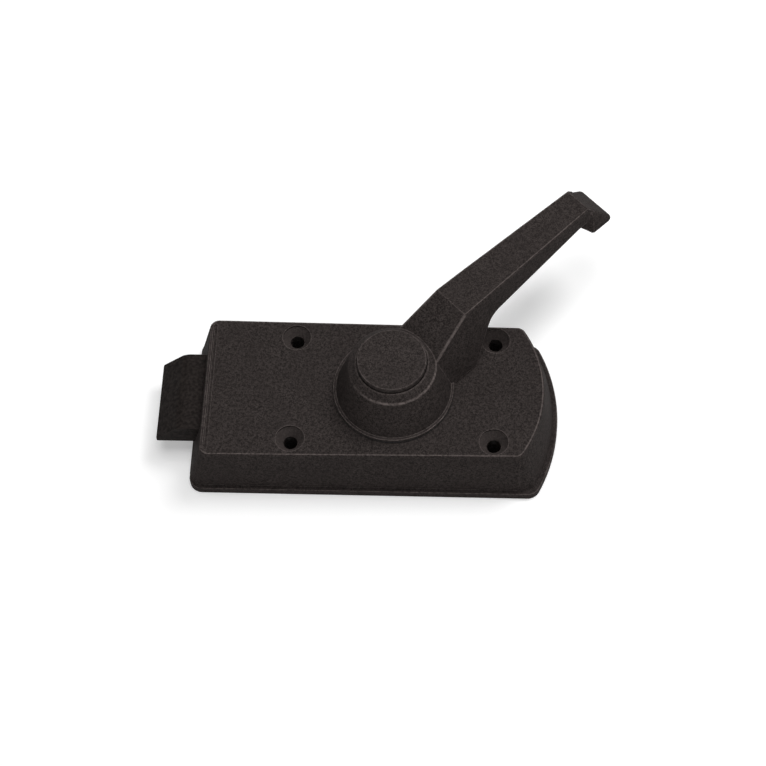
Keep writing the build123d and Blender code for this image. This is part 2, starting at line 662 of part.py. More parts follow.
with BuildPart() as lever_handle:
    add(arm_section(ROOT_START_S, ROOT_START_HEIGHT, ROOT_START_HALF_WIDTH, ROOT_DRAFT))
    add(arm_section(LEVER_BEND_S, LEVER_TOP_HEIGHT, ROOT_HALF_WIDTH, ROOT_DRAFT))
    add(arm_section(BEAM_START_S, LEVER_TOP_HEIGHT, BEAM_START_HALF_WIDTH, BEAM_DRAFT))
    add(arm_section(END_MIDDLE_S, LEVER_TOP_HEIGHT, BEAM_END_HALF_WIDTH, BEAM_DRAFT))
    loft(ruled=True)
    with BuildSketch(Plane.XZ) as arm_profile:
        with BuildLine():
            Polyline(
                (0, LEVER_BOTTOM),
                (ROOT_FOOT_S, LEVER_BOTTOM),
                (BEAM_KNEE_S, BEAM_KNEE_HEIGHT),
                (END_BLEND_S, BEAM_END_HEIGHT),
                (END_MIDDLE_S, BEAM_END_HEIGHT),
                (END_MIDDLE_S, END_MIDDLE_HEIGHT),
                (END_CREASE_S, LEVER_TOP_HEIGHT),
                (0, LEVER_TOP_HEIGHT),
                close=True,
            )
        make_face()
        knee = arm_profile.vertices().sort_by_distance((BEAM_KNEE_S, BEAM_KNEE_HEIGHT))[0]
        fillet(knee, BEAM_KNEE_ROUND)
    extrude(amount=HUB_BASE_RADIUS, both=True, mode=Mode.INTERSECT)
    add(lever_end.part)
    add(lever_hub.part)
    with BuildSketch(Plane.XY.offset(LEVER_JOURNAL_BOTTOM)):
        Circle(LEVER_JOURNAL_RADIUS)
    extrude(amount=LEVER_BOTTOM - LEVER_JOURNAL_BOTTOM)
    with BuildSketch(Plane.XY.offset(LEVER_JOURNAL_BOTTOM)):
        Rectangle(SOCKET_SIDE, SOCKET_SIDE)
    extrude(amount=LEVER_WEB_BOTTOM - LEVER_JOURNAL_BOTTOM, mode=Mode.SUBTRACT)
    with Locations(Plane.XY.offset(LEVER_TOP_HEIGHT)):
        Hole(CAP_RADIUS + CAP_SEAT_GAP, depth=LEVER_TOP_HEIGHT - CAP_BOTTOM)
    with Locations(Plane.XY.offset(HUB_TOP_HEIGHT)):
        Hole(CAP_PLUG_RECESS_RADIUS, depth=HUB_TOP_HEIGHT - LEVER_WEB_TOP)
        Hole(HANDLE_SCREW_RADIUS + SCREW_GAP, depth=HUB_TOP_HEIGHT - LEVER_WEB_BOTTOM)
lever_handle.part = lever_handle.part.rotate(Axis.Z, LEVER_REST_ANGLE)
lever_handle.part.label = "lever_handle"
export_step(lever_handle.part, "parts/lever_handle.step")

# Cap pressed into the top of the hub over the screw
with BuildPart() as handle_cap:
    with BuildSketch(Plane.XY.offset(CAP_BOTTOM)):
        Circle(CAP_RADIUS)
    extrude(amount=CAP_THICKNESS)
    fillet(handle_cap.faces().sort_by(Axis.Z)[-1].edges(), CAP_EDGE_RADIUS)
    with BuildSketch(Plane.XY.offset(CAP_BOTTOM)):
        Circle(CAP_PLUG_RADIUS)
        Circle(CAP_PLUG_RADIUS - CAP_PLUG_WALL, mode=Mode.SUBTRACT)
    extrude(amount=-CAP_PLUG_LENGTH)
handle_cap.part.label = "handle_cap"
export_step(handle_cap.part, "parts/handle_cap.step")

# Screw, spring washer and plain washer that clamp the lever to the spindle
with BuildPart() as handle_screw:
    with BuildSketch(Plane.XY.offset(HANDLE_SCREW_HEAD_BOTTOM)):
        Circle(HANDLE_SCREW_HEAD_RADIUS)
    extrude(amount=HANDLE_SCREW_HEAD_HEIGHT)
    chamfer(handle_screw.faces().sort_by(Axis.Z)[-1].edges(), SPINDLE_CHAMFER)
    with BuildSketch(Plane.XY.offset(HANDLE_SCREW_HEAD_BOTTOM)):
        Circle(HANDLE_SCREW_RADIUS)
    extrude(amount=SPINDLE_TOP - HANDLE_SCREW_ENGAGEMENT - HANDLE_SCREW_HEAD_BOTTOM)
    with BuildSketch(Plane.XY.offset(HANDLE_SCREW_HEAD_BOTTOM + HANDLE_SCREW_HEAD_HEIGHT)):
        RegularPolygon(HANDLE_SCREW_SOCKET_SIDE / 2, 6, major_radius=False)
    extrude(amount=-HANDLE_SCREW_SOCKET_DEPTH, mode=Mode.SUBTRACT)
handle_screw.part.label = "handle_screw"
export_step(handle_screw.part, "parts/handle_screw.step")

with BuildPart() as spring_washer:
    with BuildSketch(Plane.XY.offset(SPRING_WASHER_BOTTOM)):
        Circle(SPRING_WASHER_RADIUS)
        Circle(HANDLE_SCREW_RADIUS + SCREW_GAP, mode=Mode.SUBTRACT)
        with Locations((SPRING_WASHER_RADIUS, 0)):
            Rectangle(2 * SPRING_WASHER_RADIUS, SPRING_WASHER_SPLIT, mode=Mode.SUBTRACT)
    extrude(amount=SPRING_WASHER_THICKNESS)
spring_washer.part.label = "spring_washer"
export_step(spring_washer.part, "parts/spring_washer.step")

plain_washer = ring(
    PLAIN_WASHER_RADIUS,
    HANDLE_SCREW_RADIUS + SCREW_GAP,
    LEVER_WEB_TOP,
    PLAIN_WASHER_THICKNESS,
)
plain_washer.label = "plain_washer"
export_step(plain_washer, "parts/plain_washer.step")

# Square spindle that joins the lever to the follower
with BuildPart() as spindle:
    with BuildSketch(Plane.XY.offset(SPINDLE_BOTTOM)):
        Rectangle(SPINDLE_SIDE, SPINDLE_SIDE)
    extrude(amount=SPINDLE_TOP - SPINDLE_BOTTOM)
    chamfer(spindle.faces().sort_by(Axis.Z)[-1].edges(), SPINDLE_CHAMFER)
    chamfer(spindle.faces().sort_by(Axis.Z)[0].edges(), SPINDLE_CHAMFER)
    with Locations(Plane.XY.offset(SPINDLE_TOP)):
        Hole(HANDLE_SCREW_RADIUS + SCREW_GAP, depth=SPINDLE_TAP_DEPTH)
    with BuildSketch(Plane.YZ):
        with Locations((0, CROSS_PIN_HEIGHT)):
            Circle(CROSS_PIN_RADIUS)
    extrude(amount=SPINDLE_SIDE, both=True, mode=Mode.SUBTRACT)
spindle.part = spindle.part.rotate(Axis.Z, LEVER_REST_ANGLE)
spindle.part.label = "spindle"
export_step(spindle.part, "parts/spindle.step")

# Pin through the follower and the spindle
with BuildPart() as spindle_cross_pin:
    with BuildSketch(Plane.YZ):
        with Locations((0, CROSS_PIN_HEIGHT)):
            Circle(CROSS_PIN_RADIUS)
    extrude(amount=FOLLOWER_HUB_RADIUS - SEAT_GAP, both=True)
spindle_cross_pin.part = spindle_cross_pin.part.rotate(Axis.Z, LEVER_REST_ANGLE)
spindle_cross_pin.part.label = "spindle_cross_pin"
export_step(spindle_cross_pin.part, "parts/spindle_cross_pin.step")

# Follower: journal in the plate, hub, crank arm and upper flange in one casting
with BuildPart() as follower:
    with BuildSketch(Plane.XY.offset(SEAT_GAP)):
        Circle(FOLLOWER_JOURNAL_RADIUS)
    extrude(amount=FOLLOWER_TOP - SEAT_GAP)
    with BuildSketch(Plane.XY.offset(PLATE_THICKNESS + RUNNING_FIT)):
        Circle(FOLLOWER_HUB_RADIUS)
    extrude(amount=FOLLOWER_TOP - PLATE_THICKNESS - RUNNING_FIT)
    with BuildSketch(Plane.XY.offset(FOLLOWER_TOP)):
        Circle(FOLLOWER_FLANGE_RADIUS)
    extrude(amount=-FOLLOWER_FLANGE_THICKNESS)
    with BuildSketch(Plane.XY.offset(CRANK_BOTTOM)):
        SlotCenterToCenter(2 * CRANK_RADIUS, 2 * CRANK_HALF_WIDTH)
        with Locations((-CRANK_RADIUS, 0)):
            Rectangle(2 * CRANK_RADIUS, 2 * CRANK_RADIUS, mode=Mode.SUBTRACT)
    extrude(amount=CRANK_THICKNESS)
    with BuildSketch(Plane.XY.offset(CRANK_BOTTOM)):
        with Locations((CRANK_RADIUS, 0)):
            Circle(DRIVE_PIN_RADIUS)
    extrude(amount=CRANK_THICKNESS, mode=Mode.SUBTRACT)
    with BuildSketch(Plane.XY.rotated((0, 0, LEVER_REST_ANGLE - CRANK_REST_ANGLE))):
        Rectangle(SOCKET_SIDE, SOCKET_SIDE)
    extrude(amount=FOLLOWER_TOP, mode=Mode.SUBTRACT)
    with BuildSketch(Plane.YZ.rotated((0, 0, LEVER_REST_ANGLE - CRANK_REST_ANGLE))):
        with Locations((0, CROSS_PIN_HEIGHT)):
            Circle(CROSS_PIN_RADIUS)
    extrude(amount=FOLLOWER_HUB_RADIUS, both=True, mode=Mode.SUBTRACT)
    with BuildSketch(Plane.YZ.rotated((0, 0, -CRANK_REST_ANGLE))):
        with Locations((0, RETURN_COIL_TOP)):
            Circle(RETURN_WIRE_RADIUS + SLIDING_GAP)
    extrude(amount=FOLLOWER_HUB_RADIUS, mode=Mode.SUBTRACT)
follower.part = follower.part.rotate(Axis.Z, CRANK_REST_ANGLE)
follower.part.label = "follower"
export_step(follower.part, "parts/follower.step")

# Drive pin in the crank, and the roller that it carries in the tail's window
with BuildPart() as drive_pin:
    with BuildSketch(Plane.XY.offset(BOLT_BOTTOM)):
        with Locations(CRANK_PIN_PLACE):
            Circle(DRIVE_PIN_RADIUS)
    extrude(amount=CRANK_TOP - BOLT_BOTTOM)
    with BuildSketch(Plane.XY.offset(BOLT_BOTTOM)):
        with Locations(CRANK_PIN_PLACE):
            Circle(DRIVE_ROLLER_RADIUS - SLIDING_GAP)
    extrude(amount=-DRIVE_PIN_HEAD)
drive_pin.part.label = "drive_pin"
export_step(drive_pin.part, "parts/drive_pin.step")

with BuildPart() as drive_roller:
    with BuildSketch(Plane.XY.offset(BOLT_BOTTOM + RUNNING_FIT)):
        with Locations(CRANK_PIN_PLACE):
            Circle(DRIVE_ROLLER_RADIUS)
            Circle(DRIVE_PIN_RADIUS + RUNNING_FIT, mode=Mode.SUBTRACT)
    extrude(amount=CRANK_BOTTOM - BOLT_BOTTOM - 2 * RUNNING_FIT)
drive_roller.part.label = "drive_roller"
export_step(drive_roller.part, "parts/drive_roller.step")

# Stop pins pressed into bosses under the ceiling, one for each end of the lever's throw
with BuildPart() as stop_pins:
    with BuildSketch(Plane.XY.offset(CRANK_BOTTOM)):
        with Locations(*stop_places()):
            Circle(STOP_PIN_RADIUS)
    extrude(amount=CEILING - CRANK_BOTTOM)
stop_pins.part.label = "stop_pins"
export_step(stop_pins.part, "parts/stop_pins.step")

# Bolt: bevelled on the front so that it rides over the strike when the door is slammed
with BuildPart() as latch_bolt:
    with BuildSketch(Plane.XZ) as bolt_profile:
        with BuildLine():
            Polyline(
                (BOLT_TIP_X + BOLT_BEVEL_LENGTH, BOLT_TOP),
                (BOLT_REAR_X, BOLT_TOP),
                (BOLT_REAR_X, BOLT_BOTTOM),
                (BOLT_TIP_X, BOLT_BOTTOM),
                (BOLT_TIP_X, BOLT_BOTTOM + BOLT_TIP_THICKNESS),
                close=True,
            )
        make_face()
        nose = bolt_profile.vertices().group_by(Axis.Y)[-1].sort_by(Axis.X)[0]
        fillet(nose, BOLT_NOSE_ROUND)
    extrude(amount=BOLT_HALF_WIDTH, both=True)
    fillet(latch_bolt.edges().filter_by(Axis.Z), BOLT_EDGE_RADIUS)
    with BuildSketch(Plane.XY.offset(BOLT_BOTTOM)):
        with Locations((BOLT_REAR_X - TAIL_LAP / 2, 0)):
            Rectangle(TAIL_LAP, 2 * TAIL_NECK_HALF_WIDTH)
    extrude(amount=TAIL_THICKNESS, mode=Mode.SUBTRACT)
    with BuildSketch(Plane.YZ.offset(BOLT_REAR_X)):
        with Locations((BOLT_SPRING_Y, BOLT_SPRING_Z), (-BOLT_SPRING_Y, BOLT_SPRING_Z)):
            Circle(BOLT_POCKET_RADIUS)
    extrude(amount=-BOLT_POCKET_DEPTH, mode=Mode.SUBTRACT)
    with BuildSketch(Plane.XY.offset(BOLT_BOTTOM)):
        with Locations(*tail_rivet_places()):
            Circle(TAIL_RIVET_RADIUS)
    extrude(amount=BOLT_THICKNESS, mode=Mode.SUBTRACT)
latch_bolt.part.label = "latch_bolt"
export_step(latch_bolt.part, "parts/latch_bolt.step")

# Tail: neck between the fixings, and a head with a slot for the hub and a drive window
with BuildPart() as bolt_tail:
    with BuildSketch(Plane.XY.offset(BOLT_BOTTOM)) as tail_shape:
        with BuildLine():
            Polyline(
                (TAIL_LEFT_X, TAIL_NECK_HALF_WIDTH),
                (TAIL_HEAD_LEFT_X, TAIL_NECK_HALF_WIDTH),
                (TAIL_HEAD_LEFT_X, TAIL_HEAD_HALF_WIDTH),
                (TAIL_HEAD_END_X, TAIL_HEAD_HALF_WIDTH),
                (TAIL_HEAD_END_X, -TAIL_HEAD_HALF_WIDTH),
                (TAIL_HEAD_LEFT_X, -TAIL_HEAD_HALF_WIDTH),
                (TAIL_HEAD_LEFT_X, -TAIL_NECK_HALF_WIDTH),
                (TAIL_LEFT_X, -TAIL_NECK_HALF_WIDTH),
                close=True,
            )
        make_face()
        fillet(tail_shape.vertices().group_by(Axis.X)[-1], TAIL_CORNER_RADIUS)
        with Locations((-BOLT_TRAVEL / 2, 0)):
            SlotOverall(
                BOLT_TRAVEL + 2 * TAIL_SLOT_HALF_WIDTH,
                2 * TAIL_SLOT_HALF_WIDTH,
                mode=Mode.SUBTRACT,
            )
        window_middle = (
            (WINDOW_LEFT_X + WINDOW_RIGHT_X) / 2,
            (WINDOW_INNER_Y + WINDOW_OUTER_Y) / 2,
        )
        with Locations(window_middle):
            Rectangle(
                WINDOW_RIGHT_X - WINDOW_LEFT_X,
                WINDOW_OUTER_Y - WINDOW_INNER_Y,
                mode=Mode.SUBTRACT,
            )
        with Locations(*tail_rivet_places()):
            Circle(TAIL_RIVET_RADIUS, mode=Mode.SUBTRACT)
    extrude(amount=TAIL_THICKNESS)
bolt_tail.part.label = "bolt_tail"
export_step(bolt_tail.part, "parts/bolt_tail.step")

with BuildPart() as tail_rivets:
    with BuildSketch(Plane.XY.offset(BOLT_BOTTOM)):
        with Locations(*tail_rivet_places()):
            Circle(TAIL_RIVET_RADIUS)
    extrude(amount=BOLT_THICKNESS)
tail_rivets.part.label = "tail_rivets"
export_step(tail_rivets.part, "parts/tail_rivets.step")

# Bracket that the bolt springs push against: it spans the tail's neck, and its tabs are
# staked into the plate
with BuildPart() as spring_bracket:
    with BuildSketch(Plane.YZ.offset(BRACKET_X)) as bracket_shape:
        with Locations((0, (PLATE_THICKNESS + BRACKET_TOP) / 2)):
            Rectangle(2 * BRACKET_HALF_WIDTH, BRACKET_TOP - PLATE_THICKNESS)
        fillet(bracket_shape.vertices().group_by(Axis.Y)[-1], BRACKET_CORNER_RADIUS)
        with Locations((0, (PLATE_THICKNESS + TAIL_TOP + CRANK_GAP) / 2)):
            Rectangle(
                2 * (TAIL_NECK_HALF_WIDTH + CRANK_GAP),
                TAIL_TOP + CRANK_GAP - PLATE_THICKNESS,
                mode=Mode.SUBTRACT,
            )
        with Locations((BRACKET_TAB_Y, 0), (-BRACKET_TAB_Y, 0)):
            with Locations((0, PLATE_THICKNESS - BRACKET_TAB_LENGTH / 2)):
                Rectangle(2 * BRACKET_TAB_HALF_WIDTH, BRACKET_TAB_LENGTH)
        with Locations((BOLT_SPRING_Y, BOLT_SPRING_Z), (-BOLT_SPRING_Y, BOLT_SPRING_Z)):
            Circle(SPRING_PIN_RADIUS, mode=Mode.SUBTRACT)
    extrude(amount=BRACKET_THICKNESS)
spring_bracket.part.label = "spring_bracket"
export_step(spring_bracket.part, "parts/spring_bracket.step")

with BuildPart() as spring_guide_pins:
    with BuildSketch(Plane.YZ.offset(BRACKET_X + BRACKET_THICKNESS)):
        with Locations((BOLT_SPRING_Y, BOLT_SPRING_Z), (-BOLT_SPRING_Y, BOLT_SPRING_Z)):
            Circle(SPRING_PIN_RADIUS)
    extrude(amount=-BRACKET_THICKNESS - SPRING_PIN_LENGTH)
spring_guide_pins.part.label = "spring_guide_pins"
export_step(spring_guide_pins.part, "parts/spring_guide_pins.step")

# Bolt springs, one on each guide pin, from the bracket into the bolt's pockets
spring_length = BRACKET_X - BOLT_REAR_X + BOLT_POCKET_DEPTH
spring_reach = spring_length - 2 * (BOLT_SPRING_WIRE_RADIUS + RUNNING_FIT)
bolt_spring_wire = coil_wire(
    BOLT_SPRING_COIL_RADIUS,
    BOLT_SPRING_WIRE_RADIUS,
    spring_reach / BOLT_SPRING_COILS,
    spring_reach,
).rotate(Axis.Y, 90)
spring_start_x = BRACKET_X - spring_length + BOLT_SPRING_WIRE_RADIUS + RUNNING_FIT
bolt_spring_far = bolt_spring_wire.translate((spring_start_x, BOLT_SPRING_Y, BOLT_SPRING_Z))
bolt_spring_far.label = "bolt_spring_far"
export_step(bolt_spring_far, "parts/bolt_spring_far.step")
bolt_spring_near = bolt_spring_wire.translate((spring_start_x, -BOLT_SPRING_Y, BOLT_SPRING_Z))
bolt_spring_near.label = "bolt_spring_near"
export_step(bolt_spring_near, "parts/bolt_spring_near.step")

# Lever return spring round the follower's hub: its lower leg bears on the post, and its
# upper end hooks into the hub
with BuildPart() as return_spring:
    with Locations((0, 0, RETURN_COIL_BOTTOM)):
        add(
            coil_wire(
                RETURN_COIL_RADIUS,
                RETURN_WIRE_RADIUS,
                RETURN_PITCH,
                RETURN_PITCH * RETURN_COILS,
            )
        )
    with Locations(
        (RETURN_COIL_RADIUS, 0, RETURN_COIL_BOTTOM), (RETURN_COIL_RADIUS, 0, RETURN_COIL_TOP)
    ):
        Sphere(RETURN_BEND_RADIUS)
    with BuildSketch(Plane.XZ.offset(RETURN_LEG_START)):
        with Locations((RETURN_COIL_RADIUS, RETURN_COIL_BOTTOM)):
            RegularPolygon(RETURN_WIRE_RADIUS, WIRE_SIDES)
    extrude(amount=RETURN_LEG_LENGTH - RETURN_LEG_START)
    with BuildSketch(Plane.YZ.offset(RETURN_COIL_RADIUS)):
        with Locations((0, RETURN_COIL_TOP)):
            RegularPolygon(RETURN_WIRE_RADIUS, WIRE_SIDES)
    extrude(amount=FOLLOWER_HUB_RADIUS - RETURN_HOOK_DEPTH - RETURN_COIL_RADIUS)
return_spring.part.label = "return_spring"
export_step(return_spring.part, "parts/return_spring.step")

with BuildPart() as return_spring_post:
    with BuildSketch():
        with Locations(RETURN_POST_PLACE):
            Circle(RETURN_POST_RADIUS)
    extrude(amount=BOLT_BOTTOM - CRANK_GAP)
return_spring_post.part.label = "return_spring_post"
export_step(return_spring_post.part, "parts/return_spring_post.step")

# Nylon guide under and beside the bolt, riveted to the plate
with BuildPart() as bolt_guide:
    with BuildSketch(Plane.YZ.offset(GUIDE_LEFT_X)):
        with Locations((0, (PLATE_THICKNESS + GUIDE_CHEEK_TOP) / 2)):
            Rectangle(
                2 * (BOLT_HALF_WIDTH + SLIDING_GAP + GUIDE_CHEEK_WALL),
                GUIDE_CHEEK_TOP - PLATE_THICKNESS,
            )
        with Locations((0, (BOLT_BOTTOM - SLIDING_GAP + GUIDE_CHEEK_TOP) / 2)):
            Rectangle(
                2 * (BOLT_HALF_WIDTH + SLIDING_GAP),
                GUIDE_CHEEK_TOP - BOLT_BOTTOM + SLIDING_GAP,
                mode=Mode.SUBTRACT,
            )
    extrude(amount=GUIDE_RIGHT_X - GUIDE_LEFT_X)
    with BuildSketch(Plane.XY.offset(BOLT_BOTTOM - SLIDING_GAP)):
        with Locations(*guide_rivet_places()):
            Circle(GUIDE_RIVET_RADIUS)
    extrude(amount=PLATE_THICKNESS - BOLT_BOTTOM, mode=Mode.SUBTRACT)
bolt_guide.part.label = "bolt_guide"
export_step(bolt_guide.part, "parts/bolt_guide.step")

with BuildPart() as guide_rivets:
    with Locations(*guide_rivet_places()):
        add(
            countersunk_rod(
                GUIDE_RIVET_RADIUS,
                GUIDE_RIVET_HEAD_RADIUS,
                BOLT_BOTTOM - CRANK_GAP,
            )
        )
guide_rivets.part.label = "guide_rivets"
export_step(guide_rivets.part, "parts/guide_rivets.step")

# Nylon rails under the edges of the tail's head, with studs into the plate
with BuildPart() as tail_rails:
    with BuildSketch(Plane.XY.offset(PLATE_THICKNESS)):
        with Locations(
            ((RAIL_LEFT_X + RAIL_RIGHT_X) / 2, RAIL_MIDDLE_Y),
            ((RAIL_LEFT_X + RAIL_RIGHT_X) / 2, -RAIL_MIDDLE_Y),
        ):
            Rectangle(RAIL_RIGHT_X - RAIL_LEFT_X, RAIL_WIDTH)
    extrude(amount=BOLT_BOTTOM - SLIDING_GAP - PLATE_THICKNESS)
    with BuildSketch(Plane.XY.offset(PLATE_THICKNESS)):
        with Locations(*rail_stud_places()):
            Circle(RAIL_STUD_RADIUS)
    extrude(amount=SEAT_GAP - PLATE_THICKNESS)
tail_rails.part.label = "tail_rails"
export_step(tail_rails.part, "parts/tail_rails.step")
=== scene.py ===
"""Finishes, lights and camera for a surface-mounted slam latch with a cranked lever."""
import json
import math

import bpy
from mathutils import Matrix, Vector


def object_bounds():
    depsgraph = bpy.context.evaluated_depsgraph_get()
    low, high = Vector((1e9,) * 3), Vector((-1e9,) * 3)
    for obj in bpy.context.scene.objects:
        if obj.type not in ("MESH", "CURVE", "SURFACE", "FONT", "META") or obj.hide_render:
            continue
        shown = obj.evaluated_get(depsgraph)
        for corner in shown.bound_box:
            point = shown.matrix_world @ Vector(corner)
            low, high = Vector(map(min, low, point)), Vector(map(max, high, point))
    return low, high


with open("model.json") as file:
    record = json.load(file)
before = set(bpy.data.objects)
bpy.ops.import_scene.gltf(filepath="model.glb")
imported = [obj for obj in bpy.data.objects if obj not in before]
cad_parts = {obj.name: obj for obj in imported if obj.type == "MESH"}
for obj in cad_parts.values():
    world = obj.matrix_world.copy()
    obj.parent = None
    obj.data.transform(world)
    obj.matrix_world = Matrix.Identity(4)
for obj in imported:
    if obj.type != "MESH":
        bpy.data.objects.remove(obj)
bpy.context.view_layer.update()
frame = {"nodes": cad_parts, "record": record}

# Camera: metres and degrees, with the film 36 mm wide
CAMERA_AZIMUTH = 6.38
CAMERA_ELEVATION = 60.63
CAMERA_ROLL = -4.59
CAMERA_DISTANCE = 0.7921
CAMERA_TARGET = Vector((-0.00565, 0.01615, 0.0))
CAMERA_LENS = 96.39

# Texture sizes, as noise cells per metre
FINE_GRAIN = 2300
ORANGE_PEEL = 900
MOTTLE = 110
SCUFF = 320

# Radius of edges that are only eased by the coat, and how far from edges it is thin and paler, as
# wear and as a painted highlight, in metres
EDGE_EASE = 0.0002
COAT_EDGE = 0.0006

# Powder coat and satin black
COAT_ROUGHNESS = 0.72
BLACK_SPECULAR = 0.03
RIM_FADE = 0.02

# Where the painted highlight on a ring shows: a place across the ring, and its reach, in metres
HIGHLIGHT_SIDE = (0.008, -0.014)
HIGHLIGHT_REACH = 0.026


class Surface:
    """A node material that is put together from the shader back to its patterns."""

    def __init__(self, name):
        self.material = bpy.data.materials.new(name)
        self.material.use_nodes = True
        self.tree = self.material.node_tree
        self.tree.nodes.clear()
        self.output = self.node("ShaderNodeOutputMaterial")
        self.shader = self.node("ShaderNodeBsdfPrincipled")
        self.link(self.shader.outputs["BSDF"], self.output.inputs["Surface"])
        self.place = self.node("ShaderNodeTexCoord").outputs["Object"]

    def node(self, kind, **settings):
        node = self.tree.nodes.new(kind)
        for key, value in settings.items():
            setattr(node, key, value)
        return node

    def link(self, output, socket):
        self.tree.links.new(output, socket)

    def noise(self, cells, detail=2.0, roughness=0.5, stretch=(1, 1, 1)):
        """Soft random spots, cells of them in a metre, longer where stretch is under 1."""
        mapping = self.node("ShaderNodeMapping")
        mapping.inputs["Scale"].default_value = stretch
        self.link(self.place, mapping.inputs["Vector"])
        noise = self.node("ShaderNodeTexNoise")
        noise.inputs["Scale"].default_value = cells
        noise.inputs["Detail"].default_value = detail
        noise.inputs["Roughness"].default_value = roughness
        self.link(mapping.outputs["Vector"], noise.inputs["Vector"])
        return noise.outputs["Fac"]

    def spread(self, value, from_low, from_high, to_low, to_high):
        """Value stretched from one range to another, and held inside it."""
        node = self.node("ShaderNodeMapRange", clamp=True)
        self.link(value, node.inputs["Value"])
        node.inputs["From Min"].default_value = from_low
        node.inputs["From Max"].default_value = from_high
        node.inputs["To Min"].default_value = to_low
        node.inputs["To Max"].default_value = to_high
        return node.outputs["Result"]

    def math(self, operation, first, second):
        node = self.node("ShaderNodeMath", operation=operation)
        for value, socket in zip((first, second), node.inputs):
            if isinstance(value, (int, float)):
                socket.default_value = value
            else:
                self.link(value, socket)
        return node.outputs["Value"]

    def mix(self, factor, first, second):
        """A colour between two, each a colour or the output of another node."""
        node = self.node("ShaderNodeMix", data_type="RGBA")
        self.link(factor, node.inputs["Factor"])
        for value, socket in ((first, node.inputs["A"]), (second, node.inputs["B"])):
            if isinstance(value, tuple):
                socket.default_value = (*value, 1)
            else:
                self.link(value, socket)
        return node.outputs["Result"]

    def edges(self, radius, sharpest):
        """Nearly 1 on outer and inner edges, and 0 on the flats."""
        bevel = self.node("ShaderNodeBevel", samples=6)
        bevel.inputs["Radius"].default_value = radius
        flat = self.node("ShaderNodeNewGeometry").outputs["Normal"]
        dot = self.node("ShaderNodeVectorMath", operation="DOT_PRODUCT")
        self.link(bevel.outputs["Normal"], dot.inputs[0])
        self.link(flat, dot.inputs[1])
        return self.spread(dot.outputs["Value"], 1.0, sharpest, 0.0, 1.0)

    def rims(self, steepest, flattest):
        """1 on rounded rims that turn from a level face to a wall, and 0 on both of them."""
        flat = self.node("ShaderNodeNewGeometry").outputs["Normal"]
        parts = self.node("ShaderNodeSeparateXYZ")
        self.link(flat, parts.inputs["Vector"])
        upright = parts.outputs["Z"]
        return self.math(
            "MULTIPLY",
            self.spread(upright, steepest, steepest + RIM_FADE, 0.0, 1.0),
            self.spread(upright, flattest, flattest + RIM_FADE, 1.0, 0.0),
        )

    def near(self, place, reach):
        """1 within half the reach of a place in metres, and 0 from the reach outwards."""
        distance = self.node("ShaderNodeVectorMath", operation="DISTANCE")
        self.link(self.place, distance.inputs[0])
        distance.inputs[1].default_value = place
        return self.spread(distance.outputs["Value"], 0.5 * reach, reach, 1.0, 0.0)

    def in_corners(self, place, reach):
        """1 within the reach of a place, or of its mirror images across X and Y, and 0 outside."""
        mirrored = self.node("ShaderNodeVectorMath", operation="ABSOLUTE")
        self.link(self.place, mirrored.inputs[0])
        distance = self.node("ShaderNodeVectorMath", operation="DISTANCE")
        self.link(mirrored.outputs["Vector"], distance.inputs[0])
        distance.inputs[1].default_value = place
        return self.spread(distance.outputs["Value"], 0.98 * reach, reach, 1.0, 0.0)

    def ring(self, radius, height, half_width):
        """1 on a circle round Z at that height, and 0 from the half width outwards."""
        parts = self.node("ShaderNodeSeparateXYZ")
        self.link(self.place, parts.inputs["Vector"])
        flat = self.node("ShaderNodeCombineXYZ")
        self.link(parts.outputs["X"], flat.inputs["X"])
        self.link(parts.outputs["Y"], flat.inputs["Y"])
        length = self.node("ShaderNodeVectorMath", operation="LENGTH")
        self.link(flat.outputs["Vector"], length.inputs[0])
        outwards = self.math("SUBTRACT", length.outputs["Value"], radius)
        upwards = self.math("SUBTRACT", parts.outputs["Z"], height)
        squares = self.math(
            "ADD",
            self.math("MULTIPLY", outwards, outwards),
            self.math("MULTIPLY", upwards, upwards),
        )
        away = self.math("SQRT", squares, 0.0)
        return self.spread(away, 0.3 * half_width, half_width, 1.0, 0.0)

    def stripe(self, start, end, half_width):
        """1 on the straight line between two places, and 0 from the half width outwards."""
        run = Vector(end) - Vector(start)
        offset = self.node("ShaderNodeVectorMath", operation="SUBTRACT")
        self.link(self.place, offset.inputs[0])
        offset.inputs[1].default_value = start
        along = self.node("ShaderNodeVectorMath", operation="DOT_PRODUCT")
        self.link(offset.outputs["Vector"], along.inputs[0])
        along.inputs[1].default_value = run.normalized()
        across = self.node("ShaderNodeVectorMath", operation="CROSS_PRODUCT")
        self.link(offset.outputs["Vector"], across.inputs[0])
        across.inputs[1].default_value = run.normalized()
        aside = self.node("ShaderNodeVectorMath", operation="LENGTH")
        self.link(across.outputs["Vector"], aside.inputs[0])
        inside = self.math(
            "MULTIPLY",
            self.spread(along.outputs["Value"], -half_width, half_width, 0.0, 1.0),
            self.spread(
                along.outputs["Value"],
                run.length - half_width,
                run.length + half_width,
                1.0,
                0.0,
            ),
        )
        core = self.spread(aside.outputs["Value"], 0.4 * half_width, half_width, 1.0, 0.0)
        return self.math("MULTIPLY", core, inside)

    def bump(self, height, depth, strength, radius=None):
        """Relief of that depth in metres, over edges that are eased a little."""
        bevel = self.node("ShaderNodeBevel", samples=4)
        if radius is None:
            bevel.inputs["Radius"].default_value = EDGE_EASE
        else:
            self.link(self.math("MAXIMUM", radius, EDGE_EASE), bevel.inputs["Radius"])
        bump = self.node("ShaderNodeBump")
        bump.inputs["Strength"].default_value = strength
        bump.inputs["Distance"].default_value = depth
        self.link(height, bump.inputs["Height"])
        self.link(bevel.outputs["Normal"], bump.inputs["Normal"])
        self.link(bump.outputs["Normal"], self.shader.inputs["Normal"])

    def colour(self, value):
        self.link(value, self.shader.inputs["Base Color"])

    def roughness(self, value):
        self.link(value, self.shader.inputs["Roughness"])


